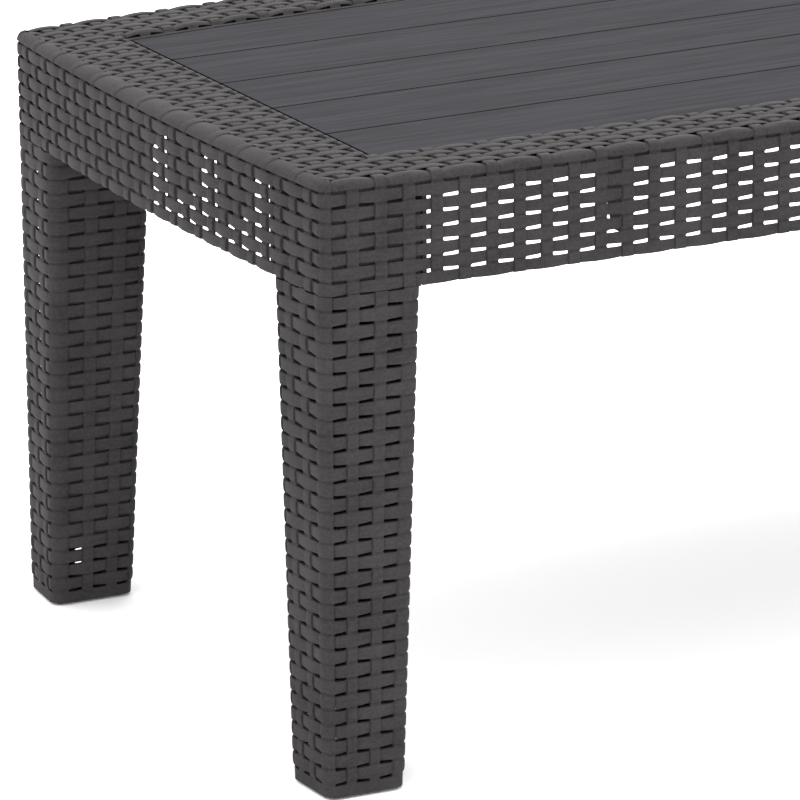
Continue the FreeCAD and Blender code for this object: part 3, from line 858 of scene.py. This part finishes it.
def make_inside():
    """The inner walls of the four leg sockets, and the webs between apron and rim."""
    mesh = Mesh()
    low, high = APRON_FOOT, LEDGE_TOP - SOCKET_PLAY
    front, end = (width + SOCKET_PLAY for width in LEG_TOP)
    wall_in = WALL - SINK
    loop = [
        meet("from_side", wall_in, "along_side", front + WALL),
        meet("along_side", front + WALL, "along_end", end + WALL),
        meet("along_end", end + WALL, "from_end", wall_in),
        meet("along_end", end, "from_end", wall_in),
        meet("along_side", front, "along_end", end),
        meet("from_side", wall_in, "along_side", front),
    ]
    for sx, sy in CORNER_SIGNS.values():
        flat = np.array(loop) * np.array([sx, sy])
        if sx * sy < 0:
            flat = flat[::-1]
        for a, b, c, d in ((0, 1, 4, 5), (1, 2, 3, 4)):
            base = np.concatenate([flat[[a, b, c, d]], np.full((4, 1), low)], -1)
            top = base + np.array([0, 0, high - low])
            mesh.box(np.concatenate([base, top]))
    for x in SIDE_GUSSETS:
        y = float(side_y(np.array(x))) - WALL + SINK
        add_gusset(mesh, np.array([x, y]), np.array([0.0, -1.0]))
        add_gusset(mesh, np.array([x, -y]), np.array([0.0, 1.0]))
    for y in END_GUSSETS:
        x = float(end_x(np.array(y))) - WALL + SINK
        add_gusset(mesh, np.array([x, y]), np.array([-1.0, 0.0]))
        add_gusset(mesh, np.array([-x, y]), np.array([1.0, 0.0]))
    frame_pieces.append(mesh.make("frame_sockets_and_gussets", WOVEN_SIDE, 30.0))


def add_gusset(mesh, place, inward):
    """A tapered web, square to the apron."""
    across = np.array([-inward[1], inward[0]]) * WALL / 2
    top = HEIGHT - WALL + 0.2 * MM
    high, middle, low = GUSSET_REACH
    for (z0, far0), (z1, far1) in (((GUSSET_FOOT, low), (GUSSET_KNEE, middle)),
                                   ((GUSSET_KNEE, middle), (top, high))):
        base, cap = [], []
        for distance, z in ((0.0, z0), (far0, z0), (far1, z1), (0.0, z1)):
            xy = place + inward * distance
            base.append((*(xy - across), z))
            cap.append((*(xy + across), z))
        mesh.box(base + cap)


# ---- legs -----------------------------------------------------------------------------------
LEG_ROWS = 33
LEG_SLOTS = (0.163, 0.443, 0.727)
LEG_SIDES = ((0, 1), (1, 2), (2, 3), (3, 0))
LEG_FLARE = 0.0
SEAM_DROP, SEAM_RISE = 0.07, 0.06       # the leg's top edge, at slots and at stakes, in rows
LEG_WALL = 3.6 * MM
LEG_BLIND = ((), range(LEG_ROWS), range(4, LEG_ROWS), ())    # strands with closed slots above them


def leg_share(q):
    """Fraction of a leg's face for a line given in stake pitches, three pitches to a face."""
    slots = LEG_SLOTS
    pitch = slots[1] - slots[0]
    reach = (0.5 - GAP_START) * pitch
    knots = [0, GAP_START, 0.5, 1, 1.5, 2, 2.5, 3 - GAP_START, 3]
    values = [0, slots[0] - reach, slots[0], slots[0] + pitch / 2, slots[1],
              slots[1] + pitch / 2, slots[2], slots[2] + reach, 1]
    return np.interp(q, knots, values)


def leg_face(side, share, z):
    """Points and outward normals on one face of the front left leg, corners rounded.

    share and z are arrays of the same shape.
    """
    up = (z / APRON_FOOT)[..., None, None]
    foot = corner_section(LEG_FOOT, 0.0)
    corners = foot + (corner_section(LEG_TOP, 0.0) - foot) * up
    a, b = LEG_SIDES[side]
    start, end = corners[..., a, :], corners[..., b, :]
    along = end - start
    length = np.linalg.norm(along, axis=-1, keepdims=True)
    along = along / length
    # the section's corners run anticlockwise as seen from above
    normal = np.stack([along[..., 1], -along[..., 0]], -1)
    point = start + along * length * share[..., None]
    result, facing = point, normal
    for which, corner in ((a, 0), (b, 1)):
        before = corners[..., (which - 1) % 4, :] - corners[..., which, :]
        after = corners[..., (which + 1) % 4, :] - corners[..., which, :]
        before = before / np.linalg.norm(before, axis=-1, keepdims=True)
        after = after / np.linalg.norm(after, axis=-1, keepdims=True)
        half = np.arccos(np.clip(np.sum(before * after, -1), -1, 1)) / 2
        radius = LEG_ROUNDS[which]
        tangent = radius / np.tan(half)
        bisector = before + after
        bisector = bisector / np.linalg.norm(bisector, axis=-1, keepdims=True)
        centre = corners[..., which, :] + bisector * (radius / np.sin(half))[..., None]
        distance = (share if corner == 0 else 1 - share) * length[..., 0]
        turn = (math.pi / 2 - half) * np.clip(distance / tangent, 0, 1)
        across = normal + bisector * np.sum(normal * -bisector, -1, keepdims=True)
        across = across / np.linalg.norm(across, axis=-1, keepdims=True)
        radial = -bisector * np.cos(turn)[..., None] + across * np.sin(turn)[..., None]
        near = (distance < tangent)[..., None]
        result = np.where(near, centre + radial * radius, result)
        facing = np.where(near, radial, facing)
    return result, facing


def leg_z(p):
    """Height of a line on a leg.  Strand 0 is the band at the foot."""
    pitch = (APRON_FOOT - 0.2 * MM - LEG_FOOT_Z) / (LEG_ROWS - 1 + 2 * STRAND_HALF)
    return LEG_FOOT_Z + (p + STRAND_HALF) * pitch


def make_leg(name):
    sx, sy = CORNER_SIGNS[name]
    flip = sx * sy < 0
    mesh = Mesh()
    parity = 0 if flip else 1
    for side in range(4):
        start = 3 * side
        q = stake_lines(start, start + 3, (start, start + 3))
        strands, places = strand_rows(0, LEG_ROWS - 1)
        sheet = Sheet(q, strands, places, parity=parity, flare=LEG_FLARE)
        plain = strands == 0
        midway = sheet.places[plain, None] == MIDWAY
        sheet.height[plain] = np.where(midway, sheet.height[plain], 0.0)
        low = plain & (places == -1.0)
        sheet.p[low] = -STRAND_HALF
        gap = np.abs(q - np.round(q)) > GAP_START - SLACK
        sheet.p[-1] += np.where(gap, -SEAM_DROP, SEAM_RISE)

        def place(qq, pp, height):
            z = leg_z(pp)
            share = leg_share(qq - start)
            xy, normal = leg_face(side, share, z)
            points = lift(xy, normal, height - RELIEF, z)
            return points * np.array([sx, sy, 1])

        sheet.front(mesh, place, flip)
        sheet.back(mesh, place, LEG_WALL - RELIEF, LEG_BLIND[side], flip)
        for row, down in ((0, True), (-1, False)):
            edge = np.stack([
                place(q[None, :], sheet.p[row][None, :], sheet.height[row][None, :])[0],
                place(q[None, :], sheet.p[row][None, :],
                      np.full((1, len(q)), RELIEF - LEG_WALL))[0],
            ])
            mesh.grid(edge, None, down != flip)
    add_leg_plates(mesh, sx, sy)
    leg = mesh.make("woven_leg_" + name, WOVEN_SIDE)
    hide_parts("leg_" + name)


PLATE_INSET = 4.5 * MM  # keeps the corners of the plates inside the rounded faces
TENON_PLAY = 0.4 * MM
TENON_INSET = 3.5 * MM
TENON_HEIGHT = 56 * MM


def add_leg_plates(mesh, sx, sy):
    """The floor of the leg, its shoulder and the tenon inside the socket."""
    signs = np.array([sx, sy, 1])
    order = [0, 1, 2, 3] if sx * sy > 0 else [3, 2, 1, 0]
    inset = PLATE_INSET
    shoulder = APRON_FOOT - 0.8 * MM
    blocks = [
        (LEG_FOOT, inset, inset, LEG_FOOT_Z + 0.2 * MM, LEG_FOOT_Z + WALL),
        (LEG_TOP, inset, inset, APRON_FOOT - 4 * MM, shoulder),
        (LEG_TOP, TENON_PLAY, TENON_INSET, shoulder, APRON_FOOT + TENON_HEIGHT),
    ]
    for widths, less, inward, low, high in blocks:
        flat = corner_section([width - less for width in widths], inward)[order]
        base = np.concatenate([flat, np.full((4, 1), low)], -1) * signs
        top = np.concatenate([flat, np.full((4, 1), high)], -1) * signs
        mesh.box(np.concatenate([base, top]))


# ---- build the table ------------------------------------------------------------------------
for face_name in FACES:
    make_apron(face_name)
    make_edge(face_name)

make_rims()
make_lip()
make_ledge()
make_inside()
for piece in frame_pieces:
    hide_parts("top_frame")
for corner_name in CORNER_SIGNS:
    make_leg(corner_name)

for node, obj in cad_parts.items():
    if node == "top_panel":
        finish = PLANKS
    elif node.startswith("foot_glide"):
        finish = GLIDES
    elif node.endswith("screws"):
        finish = STEEL
    else:
        continue
    for material_slot in obj.material_slots:
        material_slot.material = finish


# ---- floor, light and camera ----------------------------------------------------------------
def make_floor():
    size = 12.0
    mesh = bpy.data.meshes.new("floor")
    mesh.from_pydata([(-size, -size, 0), (size, -size, 0), (size, size, 0), (-size, size, 0)],
                     [], [(0, 1, 2, 3)])
    floor = bpy.data.objects.new("floor", mesh)
    bpy.context.scene.collection.objects.link(floor)
    material, nodes, links, shader = new_material("floor")
    shader.inputs["Base Color"].default_value = (0.9, 0.9, 0.9, 1)
    shader.inputs["Roughness"].default_value = 0.8
    shader.inputs["Specular IOR Level"].default_value = 0.1
    mesh.materials.append(material)


def make_light(name, location, target, size, power):
    light = bpy.data.lights.new(name, "AREA")
    light.shape = "DISK"
    light.size = size
    light.energy = power
    obj = bpy.data.objects.new(name, light)
    obj.location = location
    obj.rotation_euler = (Vector(target) - Vector(location)).to_track_quat("-Z", "Y").to_euler()
    bpy.context.scene.collection.objects.link(obj)


def make_world():
    world = bpy.data.worlds.new("studio")
    world.use_nodes = True
    background = world.node_tree.nodes["Background"]
    background.inputs["Color"].default_value = (1.0, 1.0, 1.0, 1)
    background.inputs["Strength"].default_value = 2.1
    bpy.context.scene.world = world


def make_camera():
    """A long lens from the front left, a little above the table."""
    azimuth, elevation, roll = math.radians(-27.313), math.radians(16.338), math.radians(-0.615)
    back = Vector((math.sin(azimuth) * math.cos(elevation),
                   -math.cos(azimuth) * math.cos(elevation), math.sin(elevation)))
    level = Vector((0, 0, 1)).cross(back).normalized()
    upright = back.cross(level)
    right = level * math.cos(roll) + upright * math.sin(roll)
    up = upright * math.cos(roll) - level * math.sin(roll)
    data = bpy.data.cameras.new("camera")
    data.sensor_width = 36.0
    data.lens = 228.2
    data.shift_x = 0.115
    data.shift_y = -0.174
    data.clip_start = 0.1
    data.clip_end = 100.0
    camera = bpy.data.objects.new("camera", data)
    location = Vector((-1.8754, -2.9711, 1.2735))
    axes = Matrix((right, up, back)).transposed()
    camera.matrix_world = Matrix.Translation(location) @ axes.to_4x4()
    bpy.context.scene.collection.objects.link(camera)
    bpy.context.scene.camera = camera


make_floor()
make_world()
make_light("key", (-3.0, -0.3, 2.2), (0.0, 0.0, 0.3), 2.0, 10.0)
make_light("overhead", (0.3, 0.2, 4.0), (0.0, 0.0, 0.4), 3.5, 155.0)
make_camera()
bpy.context.scene.view_settings.view_transform = "Standard"
